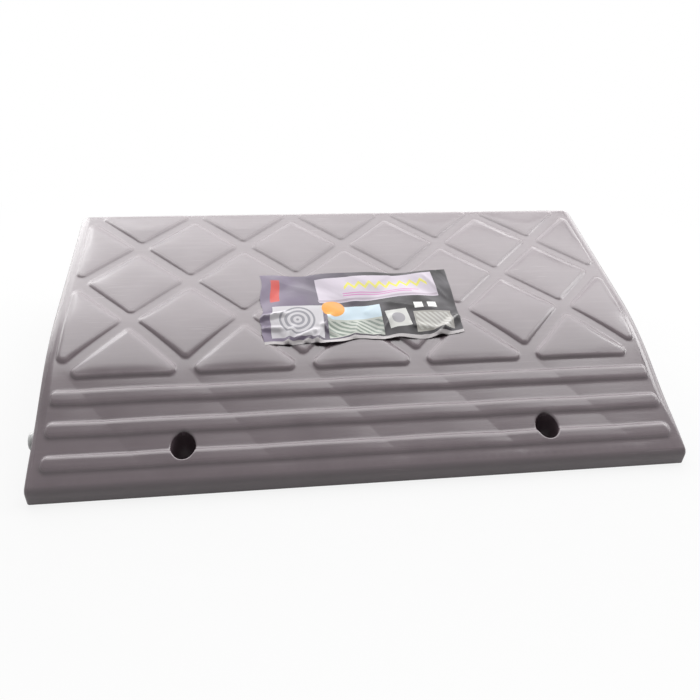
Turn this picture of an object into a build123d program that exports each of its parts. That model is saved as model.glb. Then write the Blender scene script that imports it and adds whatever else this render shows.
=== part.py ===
"""Kerb ramp: a hollow moulded wedge with diamond treads, grip ribs and two fixing holes.

Millimetres, +Z up. The origin is on the ground in the middle of the footprint, the toe
points to -Y and the kerb face to +Y.
"""
import os
from math import cos, radians, sqrt, tan

from build123d import *

# Overall size
ramp_width = 580.0  # along the kerb
ramp_depth = 340.0  # from the toe to the kerb face
ramp_height = 110.0  # from the ground to the end of the treads beside the kerb

# Side profile of the deck
toe_height = 14.0  # where the front slope would meet the toe face
front_slope = 24.2  # degrees, under the grip ribs
rear_slope = 10.1  # degrees, under the diamond treads, up to the kerb face
nose_radius = 8.0  # rounding of the toe
knee_radius = 350.0  # blend from the front slope to the rear slope
back_radius = 8.0  # rounding above the kerb face
side_radius = 6.5  # rounding of both side edges

# Mouldings
wall = 4.0  # deck, sides and base alike
weld_gap = 0.2  # between the two mouldings, and where the small pieces are seated

# Diamond treads
tread_height = 2.4
tread_edge_radius = 1.8
pad_side = 69.0  # a square pad, set on its corner
pad_corner_radius = 8.0
pad_tip_gap = 6.0  # least gap between the tips of neighbours in a row
pad_row_pitch = 56.5
last_row_inset = 13.0  # from the kerb face to the centres of the last row
first_row_cut = 6.5  # from the centres of the first row to where its pads are cut off
edge_pad_inset = 7.5  # from the field's side to the centres of the pads cut off there
field_side_inset = 10.0  # bare strip along each side
field_back_inset = 6.0  # bare strip along the kerb face
tread_fade_length = 47.0  # beside the kerb face, where the treads sink towards the deck
tread_fade_radius = 60.0  # blend where they start to sink

# Grip ribs near the toe
rib_count = 3
rib_width = 14.2
rib_pitch = 28.3
first_rib_inset = 20.4  # from the toe to the middle of the first rib
rib_end_radius = 5.0
rib_to_pad_gap = 6.0  # least bare strip between the ribs and the pads

# Fixing holes
fixing_hole_radius = 10.5
fixing_hole_spacing = 327.0
fixing_hole_inset = 30.5  # from the toe to the axis of the hole
sleeve_wall = 2.5

# Support cones of the base, open below, with their crowns under the deck
cone_mouth_radius = 24.5
cone_draft = 8.0  # degrees
cone_columns = 6
cone_rows = 4
cone_column_pitch = 82.0
cone_row_pitch = 68.0
cone_field_inset = 172.0  # from the toe to the middle of the cones

# Plug in the left side wall
plug_inset = 60.0  # from the toe
plug_level = 16.5  # above the ground
plug_head_radius = 9.0
plug_head_length = 8.0
plug_head_rounding = 3.0
plug_stem_radius = 6.0
plug_barb_height = 0.8
plug_barb_length = 5.0
plug_barb_taper = 12.0  # degrees
plug_clearance = 0.2

# Product label on the treads
label_width = 195.0
label_length = 96.0  # measured level
label_thickness = 0.6
label_offset = 6.0  # from the middle of the ramp, to the right
label_inset = 167.5  # from the toe to the middle of the label
label_turn = 1.0  # degrees

# Values worked out from the sizes above
toe_y = -ramp_depth / 2
back_y = ramp_depth / 2
front_rise = tan(radians(front_slope))
rear_rise = tan(radians(rear_slope))
knee_lift = ramp_height - toe_height - rear_rise * ramp_depth
knee_y = toe_y + knee_lift / (front_rise - rear_rise)
knee_height = toe_height + front_rise * (knee_y - toe_y)
edge_rounding = min(side_radius, 0.85 * nose_radius, 0.85 * back_radius)
tread_rounding = min(tread_edge_radius, 0.8 * tread_height)
reach = 2 * ramp_height  # longer than any way through the ramp

field_end_y = back_y - field_back_inset
fade_y = back_y - tread_fade_length
fade_height = ramp_height - rear_rise * tread_fade_length + tread_height / cos(radians(rear_slope))
fade_rise = (ramp_height - fade_height) / (field_end_y - tread_rounding - fade_y)

last_row_y = back_y - last_row_inset
field_half_width = ramp_width / 2 - field_side_inset
pad_span = 2 * (field_half_width - edge_pad_inset)
pad_columns = int(pad_span // (sqrt(2) * pad_side + pad_tip_gap))  # whole pads in the row beside the kerb
pad_column_pitch = pad_span / pad_columns
rib_field_y = toe_y + first_rib_inset + (rib_count - 1) * rib_pitch + rib_width / 2
pad_rows = 1 + int((last_row_y - first_row_cut - rib_field_y - rib_to_pad_gap) // pad_row_pitch)
first_row_y = last_row_y - (pad_rows - 1) * pad_row_pitch
field_start_y = first_row_y - first_row_cut

fixing_y = toe_y + fixing_hole_inset
cone_field_y = toe_y + cone_field_inset
cone_taper = tan(radians(cone_draft))
fixing_points = {"left": -fixing_hole_spacing / 2, "right": fixing_hole_spacing / 2}
plug_seat = Plane((-ramp_width / 2, toe_y + plug_inset, plug_level), z_dir=(1, 0, 0))
plug_rounding = min(plug_head_rounding, 0.8 * plug_head_length, 0.8 * plug_head_radius)

os.makedirs("parts", exist_ok=True)


def rim_edges(faces):
    """Edges that only one of the faces has."""
    edges = [edge for face in faces for edge in face.edges()]
    return [edge for edge in edges if edges.count(edge) == 1]


# Side profile of the deck, seen along the kerb
with BuildSketch(Plane.YZ) as profile:
    with BuildLine():
        deck_line = FilletPolyline(
            (toe_y, 0),
            (toe_y, toe_height),
            (knee_y, knee_height),
            (back_y, ramp_height),
            (back_y, 0),
            radius=[nose_radius, knee_radius, back_radius],
        )
        Line(deck_line @ 1, deck_line @ 0)
    make_face()

# The hollow under the deck, open below
with BuildPart() as hollow:
    with BuildSketch(Plane.YZ):
        add(profile.sketch_local)
        offset(amount=-wall)
        Rectangle(ramp_depth - 2 * wall, 2 * wall)
    extrude(amount=ramp_width / 2 - wall, both=True)

# Everything up to the tops of the treads
with BuildPart() as tread_limit:
    with BuildSketch(Plane.YZ) as limit_profile:
        add(profile.sketch_local)
        offset(amount=tread_height)
        with BuildLine():
            Polyline(
                (fade_y, fade_height),
                (fade_y + reach, fade_height + fade_rise * reach),
                (fade_y + reach, fade_height + reach),
                (fade_y, fade_height + reach),
                close=True,
            )
        make_face(mode=Mode.SUBTRACT)
        fade_start = limit_profile.vertices().sort_by_distance((fade_y, fade_height))[0]
        fillet(fade_start, tread_fade_radius)
    extrude(amount=ramp_width / 2, both=True)

# Diamond treads in staggered rows, cut off at the edges of their field
with BuildPart() as pads:
    with BuildSketch():
        for row in range(pad_rows):
            row_columns = pad_columns + (pad_rows - 1 - row) % 2
            with Locations((0, first_row_y + row * pad_row_pitch)):
                with GridLocations(pad_column_pitch, pad_row_pitch, row_columns, 1):
                    Rectangle(pad_side, pad_side, rotation=45)
        with Locations((0, field_start_y)):
            Rectangle(
                2 * field_half_width,
                field_end_y - field_start_y,
                align=(Align.CENTER, Align.MIN),
                mode=Mode.INTERSECT,
            )
        offset(amount=-pad_corner_radius, kind=Kind.INTERSECTION)
        offset(amount=pad_corner_radius)
    extrude(amount=reach)
    add(tread_limit.part, mode=Mode.INTERSECT)
    pad_tops = pads.faces().filter_by(lambda face: face.normal_at().Z > 0.5)
    fillet(rim_edges(pad_tops), tread_rounding)

# Grip ribs, one above the other on the front slope
with BuildPart() as ribs:
    with BuildSketch():
        for rib in range(rib_count):
            with Locations((0, toe_y + first_rib_inset + rib * rib_pitch)):
                RectangleRounded(2 * field_half_width, rib_width, rib_end_radius)
    extrude(amount=reach)
    add(tread_limit.part, mode=Mode.INTERSECT)
    rib_tops = ribs.faces().filter_by(lambda face: face.normal_at().Z > 0.5)
    fillet(rim_edges(rib_tops), tread_rounding)

# Deck: treads, toe, side walls and kerb face in one moulding
with BuildPart() as deck_shell:
    extrude(profile.sketch, amount=ramp_width / 2, both=True)
    side_edges = deck_shell.edges().group_by(Axis.X)
    upper_edges = [e for e in side_edges[0] + side_edges[-1] if e.center().Z > 0]
    fillet(upper_edges, edge_rounding)
    add(pads.part)
    add(ribs.part)
    add(hollow.part, mode=Mode.SUBTRACT)
    with Locations(*[(x, fixing_y) for x in fixing_points.values()]):
        Cylinder(fixing_hole_radius, reach, mode=Mode.SUBTRACT)
    with Locations(plug_seat):
        Cylinder(plug_stem_radius + plug_clearance, 4 * wall, mode=Mode.SUBTRACT)
deck_shell.part.label = "deck_shell"
export_step(deck_shell.part, "parts/deck_shell.step")

# Base: a plate that closes the hollow, with support cones up to the deck
with BuildPart() as cone_outsides:
    with Locations((0, cone_field_y)):
        with GridLocations(cone_column_pitch, cone_row_pitch, cone_columns, cone_rows):
            Cone(
                cone_mouth_radius + wall,
                cone_mouth_radius + wall - cone_taper * ramp_height,
                ramp_height,
                align=(Align.CENTER, Align.CENTER, Align.MIN),
            )
    with Locations((0, 0, -weld_gap)):
        add(hollow.part, mode=Mode.INTERSECT)

with BuildPart() as cone_insides:
    with Locations((0, cone_field_y)):
        with GridLocations(cone_column_pitch, cone_row_pitch, cone_columns, cone_rows):
            Cone(
                cone_mouth_radius,
                cone_mouth_radius - cone_taper * ramp_height,
                ramp_height,
                align=(Align.CENTER, Align.CENTER, Align.MIN),
            )
    with Locations((0, 0, -weld_gap - wall)):
        add(hollow.part, mode=Mode.INTERSECT)

with BuildPart() as base_tray:
    with BuildSketch():
        Rectangle(ramp_width - 2 * (wall + weld_gap), ramp_depth - 2 * (wall + weld_gap))
    extrude(amount=wall)
    add(cone_outsides.part)
    add(cone_insides.part, mode=Mode.SUBTRACT)
    with Locations(*[(x, fixing_y) for x in fixing_points.values()]):
        Cylinder(fixing_hole_radius, reach, mode=Mode.SUBTRACT)
base_tray.part.label = "base_tray"
export_step(base_tray.part, "parts/base_tray.step")

# Sleeves that keep the two walls apart where a bolt clamps them
for side, fixing_x in fixing_points.items():
    with BuildPart() as fixing_sleeve:
        with BuildSketch(Plane.XY.offset(wall + weld_gap)):
            with Locations((fixing_x, fixing_y)):
                Circle(fixing_hole_radius + sleeve_wall)
                Circle(fixing_hole_radius, mode=Mode.SUBTRACT)
        extrude(amount=reach)
        with Locations((0, 0, -weld_gap)):
            add(hollow.part, mode=Mode.INTERSECT)
    fixing_sleeve.part.label = f"fixing_sleeve_{side}"
    export_step(fixing_sleeve.part, f"parts/fixing_sleeve_{side}.step")

# Plug: a round head outside the wall, a stem through it and a barb behind it
with BuildPart() as side_plug:
    with BuildSketch(plug_seat):
        Circle(plug_head_radius)
    extrude(amount=-plug_head_length)
    fillet(side_plug.faces().sort_by(Axis.X)[0].edges(), plug_rounding)
    with BuildSketch(plug_seat):
        Circle(plug_stem_radius)
    extrude(amount=wall + weld_gap)
    with BuildSketch(plug_seat.offset(wall + weld_gap)):
        Circle(plug_stem_radius + plug_clearance + plug_barb_height)
    extrude(amount=plug_barb_length, taper=plug_barb_taper)
side_plug.part.label = "side_plug"
export_step(side_plug.part, "parts/side_plug.step")

# Label: a thin sheet that bridges the treads and follows the deck
with BuildPart() as product_label:
    with BuildSketch(Plane.YZ):
        add(profile.sketch_local)
        offset(amount=tread_height + weld_gap + label_thickness)
        offset(profile.sketch_local, amount=tread_height + weld_gap, mode=Mode.SUBTRACT)
    extrude(amount=ramp_width / 2, both=True)
    with BuildSketch():
        with Locations((label_offset, toe_y + label_inset)):
            Rectangle(label_width, label_length, rotation=label_turn)
    extrude(amount=reach, mode=Mode.INTERSECT)
product_label.part.label = "product_label"
export_step(product_label.part, "parts/product_label.step")
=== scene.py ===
from math import atan2, ceil, cos, pi, radians, sin, tan

import bmesh
import bpy
import numpy as np
from mathutils import Matrix, Vector
from mathutils.geometry import delaunay_2d_cdt


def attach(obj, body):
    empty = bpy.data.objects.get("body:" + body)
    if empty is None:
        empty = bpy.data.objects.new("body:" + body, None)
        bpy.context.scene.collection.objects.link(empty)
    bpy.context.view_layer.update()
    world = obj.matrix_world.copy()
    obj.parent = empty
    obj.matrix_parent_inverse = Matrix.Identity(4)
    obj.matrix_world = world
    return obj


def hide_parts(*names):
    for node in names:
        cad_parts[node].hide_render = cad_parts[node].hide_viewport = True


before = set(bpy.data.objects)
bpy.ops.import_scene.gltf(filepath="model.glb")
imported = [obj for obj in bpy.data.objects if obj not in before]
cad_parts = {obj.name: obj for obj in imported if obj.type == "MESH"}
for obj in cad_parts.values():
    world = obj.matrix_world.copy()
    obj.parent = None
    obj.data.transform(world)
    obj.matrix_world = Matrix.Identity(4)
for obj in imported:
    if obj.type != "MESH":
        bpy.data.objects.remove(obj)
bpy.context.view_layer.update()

MM = 0.001

# Sizes of the drawing, in millimetres. The toe is at -Y and the kerb face at +Y.
half_width, half_depth, ramp_height = 290.0, 170.0, 110.0
toe_height, front_slope, rear_slope = 14.0, radians(24.2), radians(10.1)
nose_radius, knee_radius, back_radius, wall = 8.0, 350.0, 8.0, 4.0
pad_half_diagonal, pad_column_pitch, pad_row_pitch = 48.8, 109.0, 56.5
pad_columns, pad_rows, first_row_y, field_start_y = 5, 5, -69.0, -75.5
field_half_width, field_end_y = 280.0, 164.0
rib_width, rib_lines = 14.2, (-149.6, -121.3, -93.0)
pad_corner_radius, rib_end_radius = 6.0, 6.5
hole_places = ((-163.5, -139.5), (163.5, -139.5))
hole_half_size, hole_rim_radius = np.array((10.5, 12.2)), 1.5
sleeve_wall, weld_gap = 2.3, 0.1
plug_y, plug_level = -110.0, 16.5

# How the moulding softens them. The tread section gives a share of the height at each place
# across a tread's edge, inwards from the foot line.
edge_radius, shoulder_radius, shoulder_turn = 3.0, 14.0, radians(40)
shoulder_start, shoulder_rise, shoulder_fall, shoulder_end = 22.0, 60.0, 70.0, 20.0
tread_section = (
    (-1.4, 0.0), (-0.7, 0.03), (-0.2, 0.1), (0.15, 0.22), (0.4, 0.37), (0.7, 0.53), (1.05, 0.67),
    (1.4, 0.78), (1.85, 0.87), (2.35, 0.94), (2.95, 0.98), (3.6, 1.0),
)
low_relief, front_relief, relief_start_y, relief_reach = 1.35, 0.95, -88.0, 70.0
bent_relief_share = 0.75
pad_dome, first_row_dome, cut_dome_share, dome_reach = 1.5, 1.1, 0.55, 24.0
pad_stretch, first_row_stretch, rib_stretch = 1.45, 0.85, 1.35
bend_line, bend_rate, bend_rounding = 131.0, 0.034, 1.5
back_edge_foot, back_edge_width, back_blend, back_share = -2.2, 10.0, 24.0, 0.35
side_fade = 3.0
waviness = 0.16
# The front slope is moulded in shallow slanting planks that meet in faint creases
plank_pitch, plank_slant, plank_offset, plank_bulge = 109.0, 0.85, -2.0, 0.65
plank_start_y, plank_fade_in, plank_fade_out, plank_end_y = -163.0, 14.0, 20.0, -62.0
# Rubbing: how much on the side edges, and where it is strongest across a tread's edge
side_wear, wear_depth, wear_width = 0.6, 2.0, 1.6

# Mesh lines of the deck: stations along its profile, columns across it, turns round its edges, and
# rays and rings of its treads, the rings by their depth inside the foot line
station_step, station_turn, ray_step = 8.0, radians(6), 2.4
column_count, edge_turns = 71, np.linspace(0, pi / 2, 10)
pad_rings = (-4.0, -2.4, -1.2, -0.5, 0.0, 0.5, 1.0, 1.6, 2.3, 3.1, 4.1, 5.3, 7.2, 9.6, 12.6)
rib_rings = (-3.2, -1.9, -1.0, -0.4, 0.0, 0.4, 0.8, 1.3, 1.8, 2.4, 3.1, 4.0, 5.0, 6.2)
# Lines along the side edges, the bend, the planks' creases and the holes
side_insets, bend_offsets = (1.0, 2.0, 3.2), np.array((-2.0, 0.0, 1.5, 4.0, 8.0))
crease_half_width, crease_inset = 1.2, 13.0
rim_turns, hole_outer_ring = np.radians((0, 18, 36, 54, 72, 90)), 2.3
# How far lines end before a hole's rim and the side edge, and how far loose places stay from a
# hole's rim, a tread's foot and its innermost ring
clear_of_rim, clear_of_side = 0.9, 0.3
loose_from_rim, loose_from_foot, loose_from_ring = 3.0, 5.5, 2.0
# Slack for faces whose middles lie beside a curved border
side_slack, hole_slack = 0.02, 0.06


def rounded_path(corners, radii, step, turn_step):
    """Points and outward normals along a line whose corners are rounded."""
    corners = [np.array(corner) for corner in corners]
    points, normals = [], []

    def straight(start, end):
        length = np.linalg.norm(end - start)
        along = (end - start) / length
        for part in np.arange(0, 1, 1 / ceil(length / step)):
            points.append(start + (end - start) * part)
            normals.append((-along[1], along[0]))

    start = corners[0]
    for before, corner, after, radius in zip(corners, corners[1:], corners[2:], radii):
        come = (corner - before) / np.linalg.norm(corner - before)
        go = (after - corner) / np.linalg.norm(after - corner)
        turn = atan2(come[0] * go[1] - come[1] * go[0], come @ go)
        tangent = radius * tan(abs(turn) / 2)
        straight(start, corner - come * tangent)
        normal = np.array((-come[1], come[0]))
        centre = corner - come * tangent - normal * radius
        parts = max(4, ceil(abs(turn) / turn_step), ceil(radius * abs(turn) / step))
        for angle in np.arange(parts) * turn / parts:
            turned = np.array(
                (
                    normal[0] * cos(angle) - normal[1] * sin(angle),
                    normal[0] * sin(angle) + normal[1] * cos(angle),
                )
            )
            points.append(centre + turned * radius)
            normals.append(turned)
        start = corner + go * tangent
    straight(start, corners[-1])
    points.append(corners[-1])
    normals.append(normals[-1])
    return np.array(points), np.array(normals)


# The deck's side profile, from the foot of the toe over the top to the foot of the kerb face
knee_lift = ramp_height - toe_height - 2 * half_depth * tan(rear_slope)
knee_run = knee_lift / (tan(front_slope) - tan(rear_slope))
profile_corners = (
    (-half_depth, 0.0),
    (-half_depth, toe_height),
    (knee_run - half_depth, toe_height + tan(front_slope) * knee_run),
    (half_depth, ramp_height),
    (half_depth, 0.0),
)
profile_radii = (nose_radius, knee_radius, back_radius)
fine, fine_normals = rounded_path(profile_corners, profile_radii, 0.5, radians(1))
fine_run = np.concatenate(([0], np.cumsum(np.linalg.norm(np.diff(fine, axis=0), axis=1))))
on_top = (fine[:, 0] > -half_depth + 0.01) & (fine[:, 0] < half_depth - 0.01)
inner_side, inner_depth = half_width - wall, half_depth - wall
inner_columns = (-inner_side, -200, -120, 0, 120, 200, inner_side)


def run_at(y):
    """The way along the profile to a place on its upper side."""
    return np.interp(y, fine[on_top, 0], fine_run[on_top])


def deck_level(y):
    """Height of the deck between its treads."""
    return np.interp(y, fine[on_top, 0], fine[on_top, 1])


def smooth(share):
    """A soft step from 0 to 1."""
    share = np.clip(share, 0, 1)
    return share**2 * (3 - 2 * share)


def hump(value, middle, width):
    """A soft hump: 1 at its middle, fading out over its width."""
    return np.exp(-(((value - middle) / width) ** 2))


def flattening(y):
    """Share of a pad's dome that is left where the pads bend down beside the kerb."""
    behind = np.clip(y - bend_line, 0, None)
    return np.clip(1 - bend_rate * behind**2 / (behind + bend_rounding), 0, 1)


def relief(y):
    """Height of a tread's edge: full on the ribs and the first pads, lower towards the kerb."""
    front_share = hump(np.clip(y - relief_start_y, 0, None), 0, relief_reach)
    bent_share = bent_relief_share + (1 - bent_relief_share) * flattening(y)
    return (low_relief + front_relief * front_share) * bent_share


def shoulder(run):
    """Radius of the side edges: broad on top, small at the toe and at the kerb face's foot."""
    past_toe = smooth((run - shoulder_start) / shoulder_rise)
    before_foot = smooth((fine_run[-1] - shoulder_end - run) / shoulder_fall)
    return edge_radius + (shoulder_radius - edge_radius) * (past_toe * before_foot)


def side_rounding(run):
    """Width of the rounded side edge."""
    return edge_radius + (shoulder(run) - edge_radius) * sin(shoulder_turn)


def cut(outline, normal, limit):
    """The part of a convex outline behind a straight line that faces along the normal."""
    kept = []
    gaps = limit - outline @ np.array(normal)
    followers = np.roll(outline, -1, 0), gaps, np.roll(gaps, -1)
    for corner, after, gap, gap_after in zip(outline, *followers):
        if gap >= 0:
            kept.append(corner)
        if gap * gap_after < 0:
            kept.append(corner + (after - corner) * gap / (gap - gap_after))
    return np.array(kept)


class Tread:
    """A raised pad or rib: its outline in plan, and the line that the rays of its mesh leave."""

    def __init__(self, outline, corner_radius, dome, spine, rings, stretch, back_line):
        self.rings, self.stretch, self.back_line = rings, stretch, back_line
        along = np.roll(outline, -1, 0) - outline
        along /= np.linalg.norm(along, axis=1)[:, None]
        self.outward = np.column_stack((along[:, 1], -along[:, 0]))
        self.reach = (self.outward * outline).sum(1)
        self.core, self.corner_radius = outline, corner_radius
        for normal, limit in zip(self.outward, self.reach - corner_radius):
            self.core = cut(self.core, normal, limit)
        self.depth, self.rise = np.array(tread_section).T
        self.dome = dome
        self.low, self.high = outline.min(0), outline.max(0)
        self.spine = np.array(spine)

    def depth_at(self, places):
        """How far places lie inside the foot line, whose corners are round."""
        gap = np.full(len(places), np.inf)
        inside = np.ones(len(places), bool)
        for start, end in zip(self.core, np.roll(self.core, -1, 0)):
            way, out = end - start, places - start
            share = np.clip(out @ way / (way @ way), 0, 1)
            gap = np.minimum(gap, np.linalg.norm(out - share[:, None] * way, axis=1))
            inside &= way[0] * out[:, 1] - way[1] * out[:, 0] >= 0
        return self.corner_radius + np.where(inside, gap, -gap)

    def lift_at(self, places):
        """Height above the deck: the edge's section, softer at a pad's back, and a low dome."""
        gaps = np.clip((self.reach - places @ self.outward.T) / dome_reach, 0, 1)
        dome = self.dome * flattening(places[:, 1]) * (1 - (1 - gaps) ** 2).prod(-1)
        behind = smooth((places[:, 1] - self.back_line) / back_blend + back_share)
        depth, height = self.depth_at(places), relief(places[:, 1])
        front_rise = np.interp(depth / self.stretch, self.depth, self.rise)
        back_rise = smooth((depth - back_edge_foot) / back_edge_width)
        rise = front_rise * (1 - behind) + back_rise * behind
        to_side = half_width - side_rounding(run_at(places[:, 1])) - np.abs(places[:, 0])
        return (rise * height + dome) * smooth(to_side / side_fade)

    def ring_points(self, starts, ways, depth):
        """Where rays from inside the tread reach one depth."""
        longest_ray, halvings = 60.0, 30
        low, high = np.zeros(len(starts)), np.full(len(starts), longest_ray)
        for _ in range(halvings):
            middle = (low + high) / 2
            deeper = self.depth_at(starts + middle[:, None] * ways) > depth
            low, high = np.where(deeper, middle, low), np.where(deeper, high, middle)
        return starts + low[:, None] * ways

    def rays(self, spacing):
        """Rays that meet the foot line at even steps, closer together round its corners."""
        tries, corner_weight = 900, 8.0
        starts, ways = [], []
        for end, other, first in zip(self.spine, self.spine[::-1], (pi / 2, -pi / 2)):
            for angle in first + np.linspace(0, pi, tries, endpoint=False):
                starts.append(end)
                ways.append((cos(angle), sin(angle)))
            for share in np.linspace(0, 1, tries, endpoint=False):
                starts.append(end + (other - end) * share)
                ways.append((cos(first + pi), sin(first + pi)))
        starts, ways = np.array(starts), np.array(ways)
        foot = self.ring_points(starts, ways, 0.0)
        step = np.roll(foot, -1, 0) - foot
        length = np.linalg.norm(step, axis=1)
        kept = length > 1e-6
        starts, ways, step, length = starts[kept], ways[kept], step[kept], length[kept]
        heading = np.arctan2(step[:, 1], step[:, 0])
        turn = np.abs((np.roll(heading, -1) - heading + pi) % (2 * pi) - pi)
        way = np.concatenate(([0], np.cumsum(length + corner_weight * turn)))
        marks = np.linspace(0, way[-1], ceil(way[-1] / spacing), endpoint=False)
        picks = np.searchsorted(way, marks)
        return starts[picks], ways[picks]


def make_treads():
    """The diamond pads, cut off at the edges of their field, and the ribs."""
    treads = []
    diamond = pad_half_diagonal * np.array(((-1, 0), (0, -1), (1, 0), (0, 1)))
    field_edges = (
        ((1, 0), field_half_width),
        ((-1, 0), field_half_width),
        ((0, 1), field_end_y),
        ((0, -1), -field_start_y),
    )
    for row in range(pad_rows):
        count = pad_columns + (pad_rows - 1 - row) % 2
        row_y = first_row_y + row * pad_row_pitch
        for column in range(count):
            x = (column - (count - 1) / 2) * pad_column_pitch
            pad = diamond + (x, row_y)
            for normal, limit in field_edges:
                pad = cut(pad, normal, limit)
            dome, stretch = (pad_dome, pad_stretch) if row else (first_row_dome, first_row_stretch)
            if abs(x) + pad_half_diagonal > field_half_width:
                dome *= cut_dome_share
            spine = (pad.mean(0), pad.mean(0))
            treads.append(Tread(pad, pad_corner_radius, dome, spine, pad_rings, stretch, row_y))
    for y in rib_lines:
        corners = np.array(((-1, -1), (1, -1), (1, 1), (-1, 1)))
        outline = corners * (field_half_width, rib_width / 2) + (0, y)
        end = field_half_width - rib_width / 2
        spine = ((-end, y), (end, y))
        treads.append(
            Tread(outline, rib_end_radius, 0.0, spine, rib_rings, rib_stretch, half_depth)
        )
    return treads


treads = make_treads()


def tread_lift(places):
    """Height of the treads above the deck at places in plan."""
    lift = np.zeros(len(places))
    for tread in treads:
        near = ((places > tread.low - 5) & (places < tread.high + 5)).all(1)
        lift[near] = np.maximum(lift[near], tread.lift_at(places[near]))
    return lift


def plank_level(places):
    """Height of the slanting planks: each bulges a little between two creases."""
    x, y = places.T
    share = ((x + plank_slant * y - plank_offset) / plank_pitch) % 1
    weight = smooth((plank_end_y - y) / plank_fade_out)
    weight *= smooth((y - plank_start_y) / plank_fade_in)
    # A third is about the square's mean, so the planks leave the slope's mean level as it is
    return plank_bulge * weight * (0.33 - (2 * share - 1) ** 2)


def plank_creases():
    """The creases between the planks, in plan."""
    lines = []
    y = np.arange(plank_start_y + 1, plank_end_y + 2, 2.5)
    for k in range(-3, 3):
        for shift in (-crease_half_width, 0.0, crease_half_width):
            x = plank_offset + plank_pitch * k - plank_slant * y + shift
            kept = np.abs(x) < half_width - crease_inset
            if kept.sum() > 1:
                lines.append(np.column_stack((x, y))[kept])
    return lines


def hole_gaps(places):
    """Distance of places from the nearest hole's wall, outwards."""
    size = hole_half_size.mean()
    spans = [np.linalg.norm((places - place) / hole_half_size, axis=1) for place in hole_places]
    return (np.min(spans, axis=0) - 1) * size


def hole_line(place, out):
    """A closed line round a hole at one distance from its wall."""
    turns = np.linspace(0, 2 * pi, 65)
    share = 1 + out / hole_half_size.mean()
    return np.column_stack((np.cos(turns), np.sin(turns))) * hole_half_size * share + place


def unroll(places):
    """Places in plan as distances across the deck and along its profile."""
    return np.column_stack((places[:, 0], run_at(places[:, 1])))


def deck_places():
    """Places on the unrolled deck, with the lines that its mesh has to keep."""
    stations, _ = rounded_path(profile_corners, profile_radii, station_step, station_turn)
    runs = np.concatenate(([0], np.cumsum(np.linalg.norm(np.diff(stations, axis=0), axis=1))))
    runs *= fine_run[-1] / runs[-1]
    side = half_width - side_rounding(runs)
    columns = np.linspace(-1, 1, column_count)
    chains, loose = [], []

    def add_stretches(places, kept=True):
        flat = unroll(places)
        kept = kept & (hole_gaps(places) > hole_rim_radius + clear_of_rim)
        for start in np.flatnonzero(kept[:-1] & kept[1:]):
            chains.append(flat[start : start + 2].tolist())

    for hand in (-1, 1):
        chains.append(np.column_stack((hand * side, runs)).tolist())
        for inset in side_insets:
            chains.append(np.column_stack((hand * (side - inset), runs))[4:-4].tolist())
    for end in (0, -1):
        chains.append([(x, runs[end]) for x in columns * side[end]])
    for tread in treads:
        starts, ways = tread.rays(ray_step)
        for depth in tread.rings:
            places = tread.ring_points(starts, ways, depth)
            places = np.vstack((places, places[:1]))
            rounding = side_rounding(run_at(places[:, 1]))
            add_stretches(places, np.abs(places[:, 0]) < half_width - rounding - clear_of_side)
    for y in bend_line + bend_offsets:
        chains.append([(x, run_at(y)) for x in columns * field_half_width * 0.97])
    for places in plank_creases():
        add_stretches(places)
    for place in hole_places:
        for out in (*(hole_rim_radius * (1 - np.sin(rim_turns))), hole_outer_ring):
            chains.append(unroll(hole_line(place, out)).tolist())
    for index, run in enumerate(runs[1:-1], 1):
        between = (columns[1:] + columns[:-1]) / 2
        xs = (between if index % 2 else columns[1:-1]) * side[index]
        places = np.column_stack((xs, np.full(len(xs), np.interp(run, fine_run, fine[:, 0]))))
        free = hole_gaps(places) > hole_rim_radius + loose_from_rim
        for tread in treads:
            depth = tread.depth_at(places)
            free &= (depth < -loose_from_foot) | (depth > tread.rings[-1] + loose_from_ring)
        loose += [(x, run) for x in xs[free]]
    return runs, chains, loose


def triangulate(chains, loose):
    """Joins places into triangles that keep the chains' lines."""
    places, links = [], []
    for chain in chains:
        links += [(len(places) + k, len(places) + k + 1) for k in range(len(chain) - 1)]
        places += chain
    places += loose
    result = delaunay_2d_cdt([Vector(p) for p in places], links, [], 0, 1e-4, False)
    return np.array([tuple(p) for p in result[0]]), result[2]


def deck_surface(flat):
    """Unrolled places of the deck, raised to their treads and pressed in at the holes."""
    x, run = flat[:, 0], flat[:, 1]
    y = np.interp(run, fine_run, fine[:, 0])
    z = np.interp(run, fine_run, fine[:, 1])
    places = np.column_stack((x, y))
    z += tread_lift(places) + plank_level(places)
    inner = np.clip(1 - hole_gaps(places) / hole_rim_radius, 0, 1)
    z -= hole_rim_radius * (1 - np.sqrt(1 - inner**2))
    # Slow waves of the moulded skin, calm beside the edges and low on the toe
    calm = np.clip((half_width - 14 - np.abs(x)) / 30, 0, 1) * np.clip((z - 12) / 15, 0, 1)
    calm *= np.clip((half_depth - 12 - y) / 25, 0, 1)
    wave = np.sin(x / 31 + 1.3 * np.sin(y / 43)) * np.cos(y / 27 - 0.8 * np.sin(x / 57))
    wave += 0.6 * np.sin((x + 1.7 * y) / 19 + 2.0) * np.sin((x - 0.6 * y) / 47)
    z += waviness * calm * wave
    return np.column_stack((x, y, z))


def add_faces(mesh, points, faces):
    """Adds points, given in millimetres, and the faces between them."""
    corners = [mesh.verts.new(Vector(point) * MM) for point in points]
    for face in faces:
        mesh.faces.new([corners[k] for k in face])


def add_strip(mesh, rows):
    """Faces between rows of points of the same length."""
    wide = len(rows[0])
    points = [point for row in rows for point in row]
    faces = []
    for row in range(len(rows) - 1):
        for k in range(wide - 1):
            low = row * wide + k
            faces.append((low, low + 1, low + wide + 1, low + wide))
    add_faces(mesh, points, faces)


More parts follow.
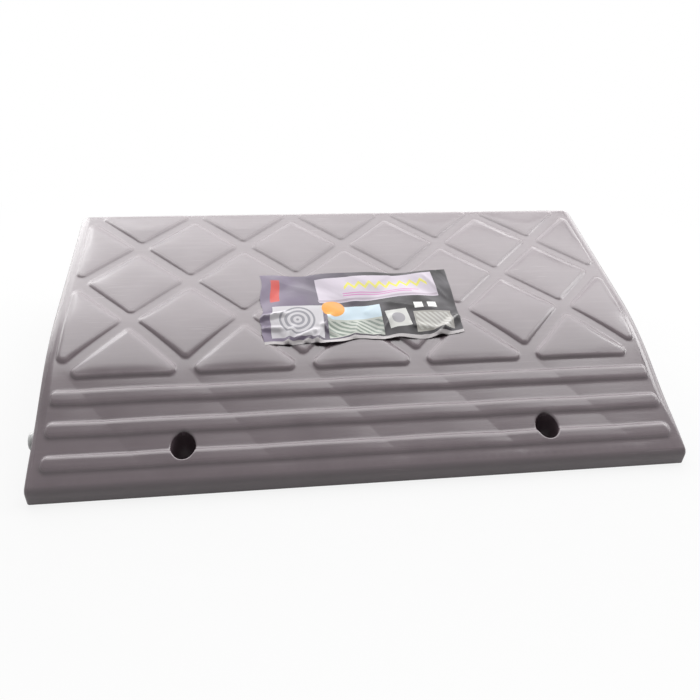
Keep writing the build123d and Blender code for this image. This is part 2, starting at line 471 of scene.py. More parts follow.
def edge_wear(points):
    """How much a point is rubbed: most on the treads' upper edges, less on the ramp's sides."""
    to_side = np.clip((np.abs(points[:, 0]) - half_width + 8) / 5, 0, 1)
    wear = side_wear * to_side * np.clip(points[:, 2] / 10, 0, 1)
    for tread in treads:
        near = ((points[:, :2] > tread.low - 3) & (points[:, :2] < tread.high + 3)).all(1)
        depth = tread.depth_at(points[near, :2])
        wear[near] = np.maximum(wear[near], hump(depth, wear_depth, wear_width))
    return wear


def add_top(mesh):
    """The deck's treaded top, open at the holes. Returns its stations along the profile."""
    runs, chains, loose = deck_places()
    flat, faces = triangulate(chains, loose)
    outer = deck_surface(flat)
    middles = np.array([flat[face].mean(0) for face in faces])
    side = half_width - side_rounding(middles[:, 1])
    open_faces = hole_gaps(np.array([outer[face, :2].mean(0) for face in faces])) < 0
    open_faces |= np.abs(middles[:, 0]) > side + side_slack
    add_faces(mesh, outer, [face for face, gone in zip(faces, open_faces) if not gone])
    return runs


def add_sides(mesh, runs, stations, normals):
    """The rounded side edges and the flat side walls."""
    broad = (shoulder(runs) - edge_radius)[:, None]
    for hand in (-1, 1):
        rows = []
        for turn in edge_turns:
            early = min(turn, shoulder_turn)
            x = broad * (sin(early) - sin(shoulder_turn)) - edge_radius * (1 - sin(turn))
            drop = broad * (1 - cos(early)) + edge_radius * (1 - cos(turn))
            rows.append(np.hstack((hand * (half_width + x), stations - drop * normals)))
        add_strip(mesh, rows)
        add_faces(mesh, rows[-1], [range(len(rows[-1]))])


def add_inside(mesh, runs, inner):
    """The plain inner skin, and the walls of the holes between the two skins."""
    for hand in (-1, 1):
        add_faces(mesh, [(hand * inner_side, y, z) for y, z in inner], [range(len(inner))])
    chains = [[(hand * inner_side, run) for run in runs] for hand in (-1, 1)]
    chains += [[(x, run) for x in inner_columns] for run in (runs[0], runs[-1])]
    for place in hole_places:
        line = hole_line(place, 0)
        line_runs = np.interp(line[:, 1], inner[2:-2, 0], runs[2:-2])
        chains.append(np.column_stack((line[:, 0], line_runs)).tolist())
        upper = deck_surface(unroll(line))
        lower_z = np.interp(line_runs, runs, inner[:, 1])
        add_strip(mesh, [upper, np.column_stack((line, lower_z))])
    flat, faces = triangulate(chains, [])
    yz = [np.interp(flat[:, 1], runs, inner[:, k]) for k in (0, 1)]
    under = np.column_stack([flat[:, 0], *yz])
    middles = np.array([under[face, :2].mean(0) for face in faces])
    keep = hole_gaps(middles) > -hole_slack
    add_faces(mesh, under, [face for face, kept in zip(faces, keep) if kept])


def add_rim(mesh):
    """The rim on the ground between the two skins."""
    side = half_width - edge_radius
    columns = np.linspace(-side, side, column_count)
    rim = [(x, -half_depth) for x in columns]
    for hand_x, hand_y in ((1, -1), (1, 1), (-1, 1), (-1, -1)):
        corner = [
            (
                hand_x * (side + edge_radius * sin(turn)),
                hand_y * (half_depth - edge_radius * (1 - cos(turn))),
            )
            for turn in edge_turns
        ]
        rim += corner if hand_x * hand_y < 0 else corner[::-1]
        if (hand_x, hand_y) == (1, 1):
            rim += [(x, half_depth) for x in columns[::-1]]
    rim_inside = [(x, -inner_depth) for x in inner_columns]
    rim_inside += [(x, inner_depth) for x in inner_columns[::-1]]
    flat, faces = triangulate([rim + rim[:1], rim_inside + rim_inside[:1]], [])
    middles = np.array([flat[face].mean(0) for face in faces])
    keep = (np.abs(middles[:, 0]) > inner_side) | (np.abs(middles[:, 1]) > inner_depth)
    level = np.column_stack((flat, np.zeros(len(flat))))
    add_faces(mesh, level, [face for face, kept in zip(faces, keep) if kept])


def close_up(mesh):
    """Joins the edges of a closed form's parts and turns its faces outwards."""
    bmesh.ops.remove_doubles(mesh, verts=mesh.verts, dist=0.002 * MM)
    bmesh.ops.recalc_face_normals(mesh, faces=mesh.faces)
    return mesh


def build_deck():
    """The deck as a closed shell. Each point keeps how much it is rubbed."""
    mesh = bmesh.new()
    runs = add_top(mesh)
    stations = np.column_stack([np.interp(runs, fine_run, fine[:, k]) for k in (0, 1)])
    normals = np.column_stack([np.interp(runs, fine_run, fine_normals[:, k]) for k in (0, 1)])
    normals /= np.linalg.norm(normals, axis=1)[:, None]
    add_sides(mesh, runs, stations, normals)
    add_inside(mesh, runs, stations - wall * normals)
    add_rim(mesh)
    close_up(mesh)
    wear = mesh.verts.layers.float.new("wear")
    points = np.array([tuple(vert.co) for vert in mesh.verts]) / MM
    for vert, value in zip(mesh.verts, edge_wear(points)):
        vert[wear] = value
    return mesh


def build_sleeve(place):
    """A tube from the deck's hole to the base plate: long as the hole above, round below."""
    mesh = bmesh.new()
    turns = np.linspace(0, 2 * pi, 49)
    circle = np.column_stack((np.cos(turns), np.sin(turns)))
    mouth = circle * hole_half_size + place
    mouth_level = deck_level(mouth[:, 1]) - wall - weld_gap
    # Shares of the way down: in over the mouth, down the bore, out under the foot and up outside
    section = [(0, sleeve_wall)]
    section += [(share, 0) for share in (0, 0.35, 0.7, 1)]
    section += [(share, sleeve_wall) for share in (1, 0.6, 0)]
    rows = []
    for share, out in section:
        half_size = hole_half_size * (1 - share) + hole_half_size[0] * share + out
        level = mouth_level * (1 - share) + (wall + weld_gap) * share
        rows.append(np.column_stack((circle * half_size + place, level)))
    add_strip(mesh, rows)
    return close_up(mesh)


# Product label: corners in plan on the tread tops, from the front left anticlockwise
label_corners = np.array(((-91.5, -52.0), (105.0, -45.0), (104.5, 48.3), (-92.7, 46.0)))
label_size, label_thickness = np.array((195.0, 96.0)), 0.35
label_float, label_least_gap, label_span = 0.6, 0.3, 9.0
crumple_height, front_lift = 0.25, 3.2
# Folds pressed into the sheet: from and to as shares of its width and length, then the height and
# half width in mm
label_folds = (
    ((0.86, 0.00), (1.00, 0.25), 5.0, 7.0),
    ((0.74, 0.16), (0.93, 0.06), 1.6, 4.5),
    ((0.87, 0.95), (0.97, 0.52), 0.9, 3.0),
    ((0.95, 0.98), (1.00, 0.78), -1.4, 3.5),
    ((0.00, 0.35), (0.12, 0.38), 3.2, 4.5),
    ((0.00, 0.22), (0.10, 0.18), 2.2, 4.0),
    ((0.11, 0.00), (0.15, 0.20), 3.2, 4.5),
    ((0.15, 0.05), (0.27, 0.15), 2.6, 4.0),
    ((0.20, 0.00), (0.24, 0.10), 2.2, 3.5),
    ((0.25, 0.00), (0.34, 0.34), 3.0, 4.5),
    ((0.28, 0.22), (0.37, 0.10), 1.8, 3.5),
    ((0.44, 0.00), (0.47, 0.22), 1.4, 5.0),
    ((0.55, 0.02), (0.66, 0.30), 1.5, 5.0),
    ((0.62, 0.50), (0.90, 0.34), 0.9, 6.0),
    ((0.05, 0.95), (0.40, 0.60), 0.6, 9.0),
    ((0.45, 0.98), (0.75, 0.55), 0.6, 10.0),
)


def label_sheet(across, along):
    """Places of the crumpled label at shares of its width and length, and its creases there."""
    front_left, front_right, back_right, back_left = label_corners
    places = (
        front_left * ((1 - across) * (1 - along))[:, None]
        + front_right * (across * (1 - along))[:, None]
        + back_right * (across * along)[:, None]
        + back_left * ((1 - across) * along)[:, None]
    )
    # The front and left edges run in waves
    near_front, near_left = np.clip(1 - along / 0.3, 0, 1), np.clip(1 - across / 0.2, 0, 1)
    front_waves = 1.6 * np.sin(across * 13 + 0.6) + 1.1 * np.sin(across * 31)
    places[:, 1] += near_front * (front_waves - 1.8 * hump(across, 0.62, 0.2))
    places[:, 0] += near_left * (1.3 * np.sin(along * 14 + 2.0) - 3.2 * hump(along, 0.34, 0.06))
    # The sheet spans the gaps between the treads, so it takes their mean height about each place
    lift, shifts = np.zeros(len(places)), np.linspace(-label_span, label_span, 7)
    count = 2 * len(shifts)
    for shift in shifts:
        lift += tread_lift(places + (shift, 0)) / count + tread_lift(places + (0, shift)) / count
    height = deck_level(places[:, 1]) + lift + label_float
    flat = np.column_stack((across, along)) * label_size
    swirl = flat[:, 0] / 7 + 2 * np.sin(flat[:, 1] / 11)
    crumple = crumple_height * np.sin(swirl) * np.sin(flat[:, 1] / 9 + 1.0)
    crease = np.zeros(len(places))
    for start, end, fold_height, fold_width in label_folds:
        start, end = start * label_size, end * label_size
        way = end - start
        share = np.clip((flat - start) @ way / (way @ way), 0, 1)
        gap = np.linalg.norm(flat - start - share[:, None] * way, axis=1)
        fold = fold_height * np.clip(np.minimum(share, 1 - share) * 6 + 0.35, 0, 1)
        crumple += fold * np.clip(1 - gap / fold_width, 0, None)
        crease = np.maximum(crease, np.clip(fold / 6, 0, 1) * hump(gap, 0, 0.8))
    # The front edge stands up in two places
    lifted_front = hump(across, 0.33, 0.07) + 0.8 * hump(across, 0.66, 0.07)
    crumple += front_lift * lifted_front * np.clip(1 - along / 0.16, 0, 1) ** 1.5
    support = deck_level(places[:, 1]) + tread_lift(places)
    level = np.maximum(height + crumple, support + label_least_gap)
    return np.column_stack((places, level)), crease


def build_label():
    """The label as a thin closed sheet. Each point keeps its place on the print and its crease."""
    mesh = bmesh.new()
    wide, long = 157, 77
    shares = np.meshgrid(np.linspace(0, 1, wide), np.linspace(0, 1, long))
    across, along = (grid.ravel() for grid in shares)
    upper, crease = label_sheet(across, along)
    count = wide * long
    grid = np.arange(count).reshape(long, wide)
    quads = np.stack((grid[:-1, :-1], grid[:-1, 1:], grid[1:, 1:], grid[1:, :-1]), -1)
    quads = quads.reshape(-1, 4)
    border = np.concatenate((grid[0], grid[1:, -1], grid[-1, -2::-1], grid[-2:0:-1, 0]))
    after = np.roll(border, -1)
    edge_quads = np.column_stack((border, border + count, after + count, after))
    faces = [*quads, *(quads[:, ::-1] + count), *edge_quads]
    add_faces(mesh, [*upper, *(upper - (0, 0, label_thickness))], faces)
    print_layer = mesh.verts.layers.float_vector.new("print_place")
    crease_layer = mesh.verts.layers.float.new("crease")
    print_places = np.column_stack((across, along)) * label_size * MM
    for k, vert in enumerate(mesh.verts):
        vert[print_layer] = (*print_places[k % count], 0.0)
        vert[crease_layer] = crease[k % count]
    bmesh.ops.recalc_face_normals(mesh, faces=mesh.faces)
    return mesh


def build_plug():
    """A turned plug: a rounded head outside the wall, a stem and a barb inside it."""
    mesh = bmesh.new()
    # Radius and place along the axis, inwards from the side wall's face
    outline = [(0.0, -8.0), (3.0, -8.0), (5.2, -7.9)]
    for turn in np.linspace(0.1, pi / 2, 7):
        outline.append((6.0 + 3.0 * sin(turn), -5.0 - 3.0 * cos(turn)))
    outline += [(9.0, -2.0), (8.8, -0.6), (8.2, -0.2), (6.0, -0.2)]
    outline += [(6.0, 5.0), (6.8, 5.2), (6.0, 10.0), (0.0, 10.0)]
    turns = np.linspace(0, 2 * pi, 41)
    rows = []
    for radius, inwards in outline:
        x = np.full(len(turns), inwards - half_width)
        y, z = plug_y + radius * np.cos(turns), plug_level + radius * np.sin(turns)
        rows.append(np.column_stack((x, y, z)))
    add_strip(mesh, rows)
    return close_up(mesh)


def make_piece(name, mesh, material):
    """Turns a bmesh into a shown piece of the ramp."""
    data = bpy.data.meshes.new(name)
    mesh.to_mesh(data)
    mesh.free()
    data.materials.append(material)
    piece = bpy.data.objects.new(name, data)
    bpy.context.collection.objects.link(piece)
    return piece


def linear(hex_colour):
    """An sRGB hex colour as linear red, green, blue and alpha."""
    values = [int(hex_colour[k : k + 2], 16) / 255 for k in (1, 3, 5)]
    return [v / 12.92 if v <= 0.04045 else ((v + 0.055) / 1.055) ** 2.4 for v in values] + [1.0]


def add_node(material, kind, inputs=None, **settings):
    """Adds a node, sets it and links or fills its inputs."""
    node = material.node_tree.nodes.new(kind)
    for name, value in settings.items():
        setattr(node, name, value)
    for socket, value in (inputs or {}).items():
        if isinstance(value, bpy.types.NodeSocket):
            material.node_tree.links.new(value, node.inputs[socket])
        else:
            node.inputs[socket].default_value = value
    return node


def new_material(name):
    """A material that has no nodes yet."""
    material = bpy.data.materials.new(name)
    material.use_nodes = True
    material.node_tree.nodes.clear()
    return material


# Grey polyethylene, blow moulded: a satin mauve-grey skin whose broad soft reflections carry most
# of its tone
grey_polyethylene = new_material("grey_polyethylene")
place = add_node(grey_polyethylene, "ShaderNodeTexCoord").outputs["Object"]
# Clouds of pigment, about 40 mm across, so that no two pads are quite alike
clouds = add_node(
    grey_polyethylene, "ShaderNodeTexNoise", {"Vector": place, "Scale": 25.0, "Detail": 3.0}
)
clouded = add_node(
    grey_polyethylene,
    "ShaderNodeMix",
    {"Factor": clouds.outputs["Fac"], "A": linear("#5F5258"), "B": linear("#6C6065")},
    data_type="RGBA",
)
# Flow lines of the melt along the kerb: 4 mm apart and some 60 mm long
flow_place = add_node(
    grey_polyethylene, "ShaderNodeMapping", {"Vector": place, "Scale": (16.0, 250.0, 250.0)}
)
flow = add_node(
    grey_polyethylene,
    "ShaderNodeTexNoise",
    {"Vector": flow_place.outputs[0], "Scale": 1.0, "Detail": 2.0},
)
flow_share = add_node(
    grey_polyethylene,
    "ShaderNodeMapRange",
    {"Value": flow.outputs["Fac"], "From Min": 0.50, "From Max": 0.75, "To Max": 0.1},
)
# Rubbed edges: paler and duller, uneven over some 20 mm
rubbed_edge = add_node(grey_polyethylene, "ShaderNodeAttribute", attribute_name="wear")
rub_clouds = add_node(
    grey_polyethylene, "ShaderNodeTexNoise", {"Vector": place, "Scale": 50.0, "Detail": 3.0}
)
rub_share = add_node(
    grey_polyethylene,
    "ShaderNodeMapRange",
    {
        "Value": rub_clouds.outputs["Fac"],
        "From Min": 0.35,
        "From Max": 0.65,
        "To Min": 0.03,
        "To Max": 0.16,
    },
)
rubbed = add_node(
    grey_polyethylene,
    "ShaderNodeMath",
    {0: rubbed_edge.outputs["Fac"], 1: rub_share.outputs[0]},
    operation="MULTIPLY",
)
# Handling scuffs: thin pale hairlines along the kerb, 1 mm apart in a few patches (drawn wider than
# real ones)
scuff_place = add_node(
    grey_polyethylene, "ShaderNodeMapping", {"Vector": place, "Scale": (30.0, 900.0, 900.0)}
)
scuffs = add_node(
    grey_polyethylene,
    "ShaderNodeTexNoise",
    {"Vector": scuff_place.outputs[0], "Scale": 1.0, "Detail": 1.0},
)
scuff_lines = add_node(
    grey_polyethylene,
    "ShaderNodeMapRange",
    {"Value": scuffs.outputs["Fac"], "From Min": 0.62, "From Max": 0.72},
)
scuff_patches = add_node(
    grey_polyethylene, "ShaderNodeTexNoise", {"Vector": place, "Scale": 11.0, "Detail": 1.0}
)
scuff_area = add_node(
    grey_polyethylene,
    "ShaderNodeMapRange",
    {"Value": scuff_patches.outputs["Fac"], "From Min": 0.54, "From Max": 0.68, "To Max": 0.18},
)
scuffed = add_node(
    grey_polyethylene,
    "ShaderNodeMath",
    {0: scuff_lines.outputs[0], 1: scuff_area.outputs[0]},
    operation="MULTIPLY",
)
# The paler flow lines, rubbed edges and scuffs, one over the other
skin = clouded
for share, paler in ((flow_share, "#8A7D81"), (rubbed, "#8C8084"), (scuffed, "#A2979B")):
    skin = add_node(
        grey_polyethylene,
        "ShaderNodeMix",
        {"Factor": share.outputs[0], "A": skin.outputs["Result"], "B": linear(paler)},
        data_type="RGBA",
    )
gloss = add_node(
    grey_polyethylene,
    "ShaderNodeMapRange",
    {
        "Value": clouds.outputs["Fac"],
        "From Min": 0.3,
        "From Max": 0.7,
        "To Min": 0.19,
        "To Max": 0.25,
    },
)
dulled = add_node(
    grey_polyethylene,
    "ShaderNodeMath",
    {0: rubbed_edge.outputs["Fac"], 1: 0.1, 2: gloss.outputs[0]},
    operation="MULTIPLY_ADD",
)
# Grain of the mould, drawn 1.2 mm wide where the real one is about 0.4 mm
grain = add_node(
    grey_polyethylene, "ShaderNodeTexNoise", {"Vector": place, "Scale": 830.0, "Detail": 2.0}
)
grained = add_node(
    grey_polyethylene,
    "ShaderNodeBump",
    {"Height": grain.outputs["Fac"], "Strength": 0.5, "Distance": 0.00004},
)
shrunk = add_node(
    grey_polyethylene,
    "ShaderNodeBump",
    {
        "Height": flow.outputs["Fac"],
        "Strength": 0.4,
        "Distance": 0.00005,
        "Normal": grained.outputs[0],
    },
)
shader = add_node(
    grey_polyethylene,
    "ShaderNodeBsdfPrincipled",
    {
        "Base Color": skin.outputs["Result"],
        "Roughness": dulled.outputs[0],
        "IOR": 1.66,
        "Normal": shrunk.outputs[0],
    },
)
add_node(grey_polyethylene, "ShaderNodeOutputMaterial", {"Surface": shader.outputs[0]})

# Natural polyethylene: milky in clouds of some 6 mm, finely pitted, with light going a little way
# in, so that the plug looks soft and waxy
natural_polyethylene = new_material("natural_polyethylene")
place = add_node(natural_polyethylene, "ShaderNodeTexCoord").outputs["Object"]
milk = add_node(
    natural_polyethylene, "ShaderNodeTexNoise", {"Vector": place, "Scale": 160.0, "Detail": 3.0}
)
milky = add_node(
    natural_polyethylene,
    "ShaderNodeMix",
    {"Factor": milk.outputs["Fac"], "A": linear("#D0D1D0"), "B": linear("#E2E3E2")},
    data_type="RGBA",
)
waxy = add_node(
    natural_polyethylene,
    "ShaderNodeMapRange",
    {"Value": milk.outputs["Fac"], "To Min": 0.32, "To Max": 0.50},
)
pitted = add_node(
    natural_polyethylene, "ShaderNodeTexNoise", {"Vector": place, "Scale": 900.0, "Detail": 2.0}
)
dimpled = add_node(
    natural_polyethylene,
    "ShaderNodeBump",
    {"Height": pitted.outputs["Fac"], "Strength": 0.5, "Distance": 0.00008},
)
shader = add_node(
    natural_polyethylene,
    "ShaderNodeBsdfPrincipled",
    {
        "Base Color": milky.outputs["Result"],
        "Roughness": waxy.outputs[0],
        "IOR": 1.5,
        "Subsurface Weight": 0.3,
        "Subsurface Radius": (0.003, 0.003, 0.003),
        "Normal": dimpled.outputs[0],
    },
)
add_node(natural_polyethylene, "ShaderNodeOutputMaterial", {"Surface": shader.outputs[0]})

# Printed film: a plain pattern of coloured patches under gloss varnish, paler where the sheet is
# creased
printed_film = new_material("printed_film")
print_points = add_node(printed_film, "ShaderNodeAttribute", attribute_name="print_place")
print_place = print_points.outputs["Vector"]
# The ground turns from lilac on the left to near black on the right across the middle of the sheet,
# along a cloudy line
ground_place = add_node(printed_film, "ShaderNodeSeparateXYZ", {0: print_place})
ground_clouds = add_node(
    printed_film, "ShaderNodeTexNoise", {"Vector": print_place, "Scale": 30.0, "Detail": 2.0}
)
ground_way = add_node(
    printed_film,
    "ShaderNodeMath",
    {0: ground_clouds.outputs["Fac"], 1: 0.08, 2: ground_place.outputs["X"]},
    operation="MULTIPLY_ADD",
)
ground_share = add_node(
    printed_film,
    "ShaderNodeMapRange",
    {"Value": ground_way.outputs[0], "From Min": 0.05, "From Max": 0.15},
)
ground = add_node(
    printed_film,
    "ShaderNodeMix",
    {"Factor": ground_share.outputs[0], "A": linear("#776C80"), "B": linear("#1B181A")},
    data_type="RGBA",
)
colour = ground.outputs["Result"]
# Patches of the pattern, in mm: colour, kind, middle, half size and turn in degrees
print_patches = (
    ("#C6BDC8", "box", (118.0, 72.0), (62.0, 18.5), 3.0),
    ("#A89BA8", "box", (118.0, 56.5), (62.0, 1.5), 3.0),
    ("#D9D25A", "zigzag", (128.0, 77.0), (44.0, 6.0), 3.0),
    ("#C27BAE", "box", (122.0, 65.5), (40.0, 0.7), 3.0),
    ("#C27BAE", "box", (118.0, 62.3), (36.0, 0.7), 3.0),
    ("#C6463D", "box", (14.0, 72.0), (4.5, 16.0), 0.0),
    ("#B9B4B4", "box", (97.5, 1.9), (97.5, 1.9), 0.0),
    ("#C9C6CA", "box", (34.0, 27.0), (25.0, 20.0), -2.0),
    ("#8E8D93", "rings", (34.0, 28.0), (17.0, 17.0), 0.0),
    ("#B9BDB4", "box", (90.0, 25.0), (27.0, 19.0), 0.0),
    ("#C4D6E0", "box", (90.0, 36.0), (27.0, 9.0), 0.0),
    ("#7F8A80", "stripes", (90.0, 16.0), (27.0, 9.0), 0.0),
    ("#E79A22", "disc", (70.0, 42.0), (11.5, 11.5), 0.0),
    ("#CFCFCB", "box", (133.0, 24.0), (11.0, 11.0), 8.0),
    ("#9C9A9E", "disc", (133.0, 24.0), (6.5, 6.5), 0.0),
    ("#E8E8E6", "box", (156.0, 40.0), (4.5, 4.5), 0.0),
    ("#E8E8E6", "box", (170.0, 40.0), (4.5, 4.5), 0.0),
    # The silver patch and its stripes at the lower right corner lie over the big fold there: partly
    # printed silver, partly a painted highlight of that fold
    ("#A29F98", "box", (168.0, 19.0), (19.0, 12.0), 0.0),
    ("#C2C2BC", "stripes", (168.0, 19.0), (17.0, 10.0), 0.0),
)
for hex_colour, kind, middle, half_size, turn in print_patches:
    local = add_node(
        printed_film,
        "ShaderNodeMapping",
        {
            "Vector": print_place,
            "Location": (middle[0] * MM, middle[1] * MM, 0.0),
            "Rotation": (0.0, 0.0, radians(turn)),
            "Scale": (half_size[0] * MM, half_size[1] * MM, 1.0),
        },
        vector_type="TEXTURE",
    )
    split = add_node(printed_film, "ShaderNodeSeparateXYZ", {0: local.outputs[0]})
    across, along = split.outputs["X"], split.outputs["Y"]
    if kind == "zigzag":
        teeth = add_node(
            printed_film, "ShaderNodeMath", {0: across, 1: 0.125}, operation="PINGPONG"
        )
        bent = add_node(
            printed_film,
            "ShaderNodeMath",
            {0: teeth.outputs[0], 1: -10.0, 2: along},
            operation="MULTIPLY_ADD",
        )
        centred = add_node(
            printed_film, "ShaderNodeMath", {0: bent.outputs[0], 1: 0.62}, operation="ADD"
        )
        narrowed = add_node(
            printed_film, "ShaderNodeMath", {0: centred.outputs[0], 1: 2.6}, operation="MULTIPLY"
        )
        along = narrowed.outputs[0]
    if kind in ("disc", "rings"):
        reach = add_node(
            printed_film, "ShaderNodeVectorMath", {0: local.outputs[0]}, operation="LENGTH"
        ).outputs["Value"]
    else:
        far_across = add_node(printed_film, "ShaderNodeMath", {0: across}, operation="ABSOLUTE")
        far_along = add_node(printed_film, "ShaderNodeMath", {0: along}, operation="ABSOLUTE")
        reach = add_node(
            printed_film,
            "ShaderNodeMath",
            {0: far_across.outputs[0], 1: far_along.outputs[0]},
            operation="MAXIMUM",
        ).outputs[0]
    covered = add_node(printed_film, "ShaderNodeMath", {0: reach, 1: 1.0}, operation="LESS_THAN")
    mask = covered.outputs[0]
    if kind in ("rings", "stripes"):
        way = reach
        if kind == "stripes":
            slanted = add_node(
                printed_film,
                "ShaderNodeMath",
                {0: along, 1: 0.5, 2: across},
                operation="MULTIPLY_ADD",
            )
            way = slanted.outputs[0]
        beat = add_node(printed_film, "ShaderNodeMath", {0: way, 1: 0.16}, operation="PINGPONG")
        lines = add_node(
            printed_film, "ShaderNodeMath", {0: beat.outputs[0], 1: 0.08}, operation="LESS_THAN"
        )
        lined = add_node(
            printed_film, "ShaderNodeMath", {0: mask, 1: lines.outputs[0]}, operation="MULTIPLY"
        )
        mask = lined.outputs[0]
    colour = add_node(
        printed_film,
        "ShaderNodeMix",
        {"Factor": mask, "A": colour, "B": linear(hex_colour)},
        data_type="RGBA",
    ).outputs["Result"]
# Ink that has faded a little in clouds, and the sheet's white that shows along sharp creases
faded = add_node(
    printed_film,
    "ShaderNodeMapRange",
    {"Value": ground_clouds.outputs["Fac"], "From Min": 0.35, "From Max": 0.75, "To Max": 0.22},
)
ink = add_node(
    printed_film,
    "ShaderNodeMix",
    {"Factor": faded.outputs[0], "A": colour, "B": linear("#B9B4BC")},
    data_type="RGBA",
)
crease = add_node(printed_film, "ShaderNodeAttribute", attribute_name="crease")
cracks = add_node(
    printed_film, "ShaderNodeTexNoise", {"Vector": print_place, "Scale": 400.0, "Detail": 3.0}
)
cracked = add_node(
    printed_film,
    "ShaderNodeMath",
    {0: crease.outputs["Fac"], 1: cracks.outputs["Fac"]},
    operation="MULTIPLY",
)
film = add_node(
    printed_film,
    "ShaderNodeMix",
    {"Factor": cracked.outputs[0], "A": ink.outputs["Result"], "B": linear("#E4E2E2")},
    data_type="RGBA",
)
film_gloss = add_node(
    printed_film,
    "ShaderNodeMapRange",
    {"Value": cracks.outputs["Fac"], "To Min": 0.14, "To Max": 0.30},
)
# Orange peel of the varnish, about 3 mm across
peel = add_node(
    printed_film, "ShaderNodeTexNoise", {"Vector": print_place, "Scale": 330.0, "Detail": 1.0}
)
peeled = add_node(
    printed_film,
    "ShaderNodeBump",
    {"Height": peel.outputs["Fac"], "Strength": 0.4, "Distance": 0.0001},
)
shader = add_node(
    printed_film,
    "ShaderNodeBsdfPrincipled",
    {
        "Base Color": film.outputs["Result"],
        "Roughness": film_gloss.outputs[0],
        "IOR": 1.27,
        "Normal": peeled.outputs[0],
    },
)
add_node(printed_film, "ShaderNodeOutputMaterial", {"Surface": shader.outputs[0]})

slot_materials = {
    "grey_polyethylene": grey_polyethylene,
    "natural_polyethylene": natural_polyethylene,
    "printed_film": printed_film,
}
pieces = (
    ("deck", build_deck(), "grey_polyethylene", "deck_shell"),
    ("sleeve_left", build_sleeve(hole_places[0]), "grey_polyethylene", "fixing_sleeve_left"),
    ("sleeve_right", build_sleeve(hole_places[1]), "grey_polyethylene", "fixing_sleeve_right"),
    ("plug", build_plug(), "natural_polyethylene", "side_plug"),
    ("label", build_label(), "printed_film", "product_label"),
)
for name, mesh, slot, node in pieces:
    piece = make_piece(name, mesh, slot_materials[slot])
    piece.data.shade_smooth()
    piece.data.set_sharp_from_angle(angle=radians(55))
    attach(piece, "root")
    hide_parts(node)

base_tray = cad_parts["base_tray"]
base_tray.data.materials.clear()
base_tray.data.materials.append(grey_polyethylene)


def add_seen(material):
    """1 for rays that carry a picture: to the eye, off a glossy face or through a clear one."""
    light_path = add_node(material, "ShaderNodeLightPath")
    seen = light_path.outputs["Is Camera Ray"]
    for kind in ("Is Glossy Ray", "Is Transmission Ray"):
        either = add_node(
            material, "ShaderNodeMath", {0: seen, 1: light_path.outputs[kind]}, operation="MAXIMUM"
        )
        seen = either.outputs[0]
    return seen


# Floor: paper that looks white to the eye and keeps a faint shadow round the ramp
floor_paper = new_material("floor_paper")
floor_place = add_node(floor_paper, "ShaderNodeTexCoord")
folded = add_node(
    floor_paper, "ShaderNodeVectorMath", {0: floor_place.outputs["Object"]}, operation="ABSOLUTE"
)
beyond = add_node(
    floor_paper,
    "ShaderNodeVectorMath",
    {0: folded.outputs[0], 1: ((half_width - 1) * MM, (half_depth - 1) * MM, 0.0)},
    operation="SUBTRACT",
)
outside = add_node(floor_paper, "ShaderNodeVectorMath", {0: beyond.outputs[0]}, operation="MAXIMUM")
distance = add_node(
    floor_paper, "ShaderNodeVectorMath", {0: outside.outputs[0]}, operation="LENGTH"
)
whiteness = add_node(
    floor_paper,
    "ShaderNodeMapRange",
    {"Value": distance.outputs["Value"], "From Max": 0.35, "To Min": 0.86},
)
# Under the ramp the paper only shows through the holes and stays dark
uncovered = add_node(
    floor_paper, "ShaderNodeMath", {0: distance.outputs["Value"], 1: 0.0}, operation="GREATER_THAN"
)
seen_uncovered = add_node(
    floor_paper,
    "ShaderNodeMath",
    {0: add_seen(floor_paper), 1: uncovered.outputs[0]},
    operation="MULTIPLY",
)
white_share = add_node(
    floor_paper,
    "ShaderNodeMath",
    {0: seen_uncovered.outputs[0], 1: whiteness.outputs[0]},
    operation="MULTIPLY",
)
# Faint fibres keep the paper from being one flat tone
fibres = add_node(
    floor_paper,
    "ShaderNodeTexNoise",
    {"Vector": floor_place.outputs["Object"], "Scale": 60.0, "Detail": 3.0},
)
paper_tone = add_node(
    floor_paper,
    "ShaderNodeMix",
    {"Factor": fibres.outputs["Fac"], "A": linear("#CDCDCC"), "B": linear("#D5D5D5")},
    data_type="RGBA",
)
paper = add_node(floor_paper, "ShaderNodeBsdfDiffuse", {"Color": paper_tone.outputs["Result"]})
white = add_node(floor_paper, "ShaderNodeEmission", {"Color": linear("#FFFFFF"), "Strength": 1.0})
floor_mix = add_node(
    floor_paper,
    "ShaderNodeMixShader",
    {0: white_share.outputs[0], 1: paper.outputs[0], 2: white.outputs[0]},
)
add_node(floor_paper, "ShaderNodeOutputMaterial", {"Surface": floor_mix.outputs[0]})
floor_mesh = bmesh.new()
bmesh.ops.create_grid(floor_mesh, x_segments=1, y_segments=1, size=4.0)
floor = make_piece("floor", floor_mesh, floor_paper)
# A little below the ground, so that the ramp's underside and the paper don't share a plane
floor.location.z = -0.3 * MM

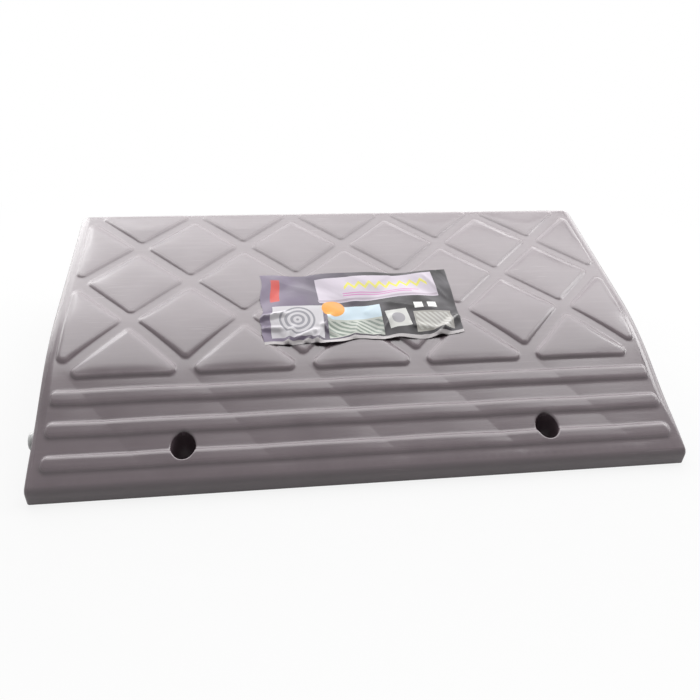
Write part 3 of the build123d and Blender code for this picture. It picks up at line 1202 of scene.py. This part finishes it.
# Light: white all round to the eye and in reflections, dim on the object
world = bpy.data.worlds.new("studio")
bpy.context.scene.world = world
world.use_nodes = True
world.node_tree.nodes.clear()
strength = add_node(world, "ShaderNodeMapRange", {"Value": add_seen(world), "To Min": 0.06})
background = add_node(
    world, "ShaderNodeBackground", {"Color": linear("#FFFFFF"), "Strength": strength.outputs[0]}
)
add_node(world, "ShaderNodeOutputWorld", {"Surface": background.outputs[0]})


def add_softbox(name, place, target, size, brightness):
    """A soft lamp that faces a point; a brightness of 1 looks white."""
    lamp = bpy.data.lights.new(name, "AREA")
    lamp.shape = "RECTANGLE"
    lamp.size, lamp.size_y = size
    lamp.energy = brightness * pi * size[0] * size[1]
    softbox = bpy.data.objects.new(name, lamp)
    softbox.location = place
    softbox.rotation_euler = (Vector(target) - Vector(place)).to_track_quat("-Z", "Y").to_euler()
    bpy.context.collection.objects.link(softbox)


add_softbox("overhead_softbox", (0.14, 0.70, 1.45), (0.03, 0, 0.05), (2.4, 1.5), 3.4)
add_softbox("back_panel", (-0.1, 1.6, 0.62), (0, 0, 0.05), (2.4, 1.1), 2.1)
add_softbox("left_panel", (-1.23, 1.14, 0.68), (-0.2, 0.0, 0.06), (0.9, 1.4), 3.4)
add_softbox("right_panel", (1.35, 0.85, 0.45), (0, 0.1, 0.05), (1.6, 0.85), 2.2)
add_softbox("right_strip", (1.31, 0.33, 1.05), (0.1, 0.0, 0.05), (0.62, 0.42), 8.0)

# Camera, fitted to the treads, the holes and the outline in the photo
camera_place = Vector((-0.09102, -0.58550, 0.42938))
yaw, pitch, roll = radians(8.711), radians(-34.360), radians(2.662)
forward = Vector((sin(yaw) * cos(pitch), cos(yaw) * cos(pitch), sin(pitch)))
level_right = Vector((cos(yaw), -sin(yaw), 0))
level_up = level_right.cross(forward)
right = level_right * cos(roll) + level_up * sin(roll)
up = level_up * cos(roll) - level_right * sin(roll)
camera_data = bpy.data.cameras.new("camera")
camera_data.sensor_width = 36.0
camera_data.lens = 34.870
camera = bpy.data.objects.new("camera", camera_data)
turned = Matrix((right, up, -forward)).transposed().to_4x4()
camera.matrix_world = Matrix.Translation(camera_place) @ turned
bpy.context.collection.objects.link(camera)
bpy.context.scene.camera = camera
bpy.context.scene.view_settings.view_transform = "Standard"
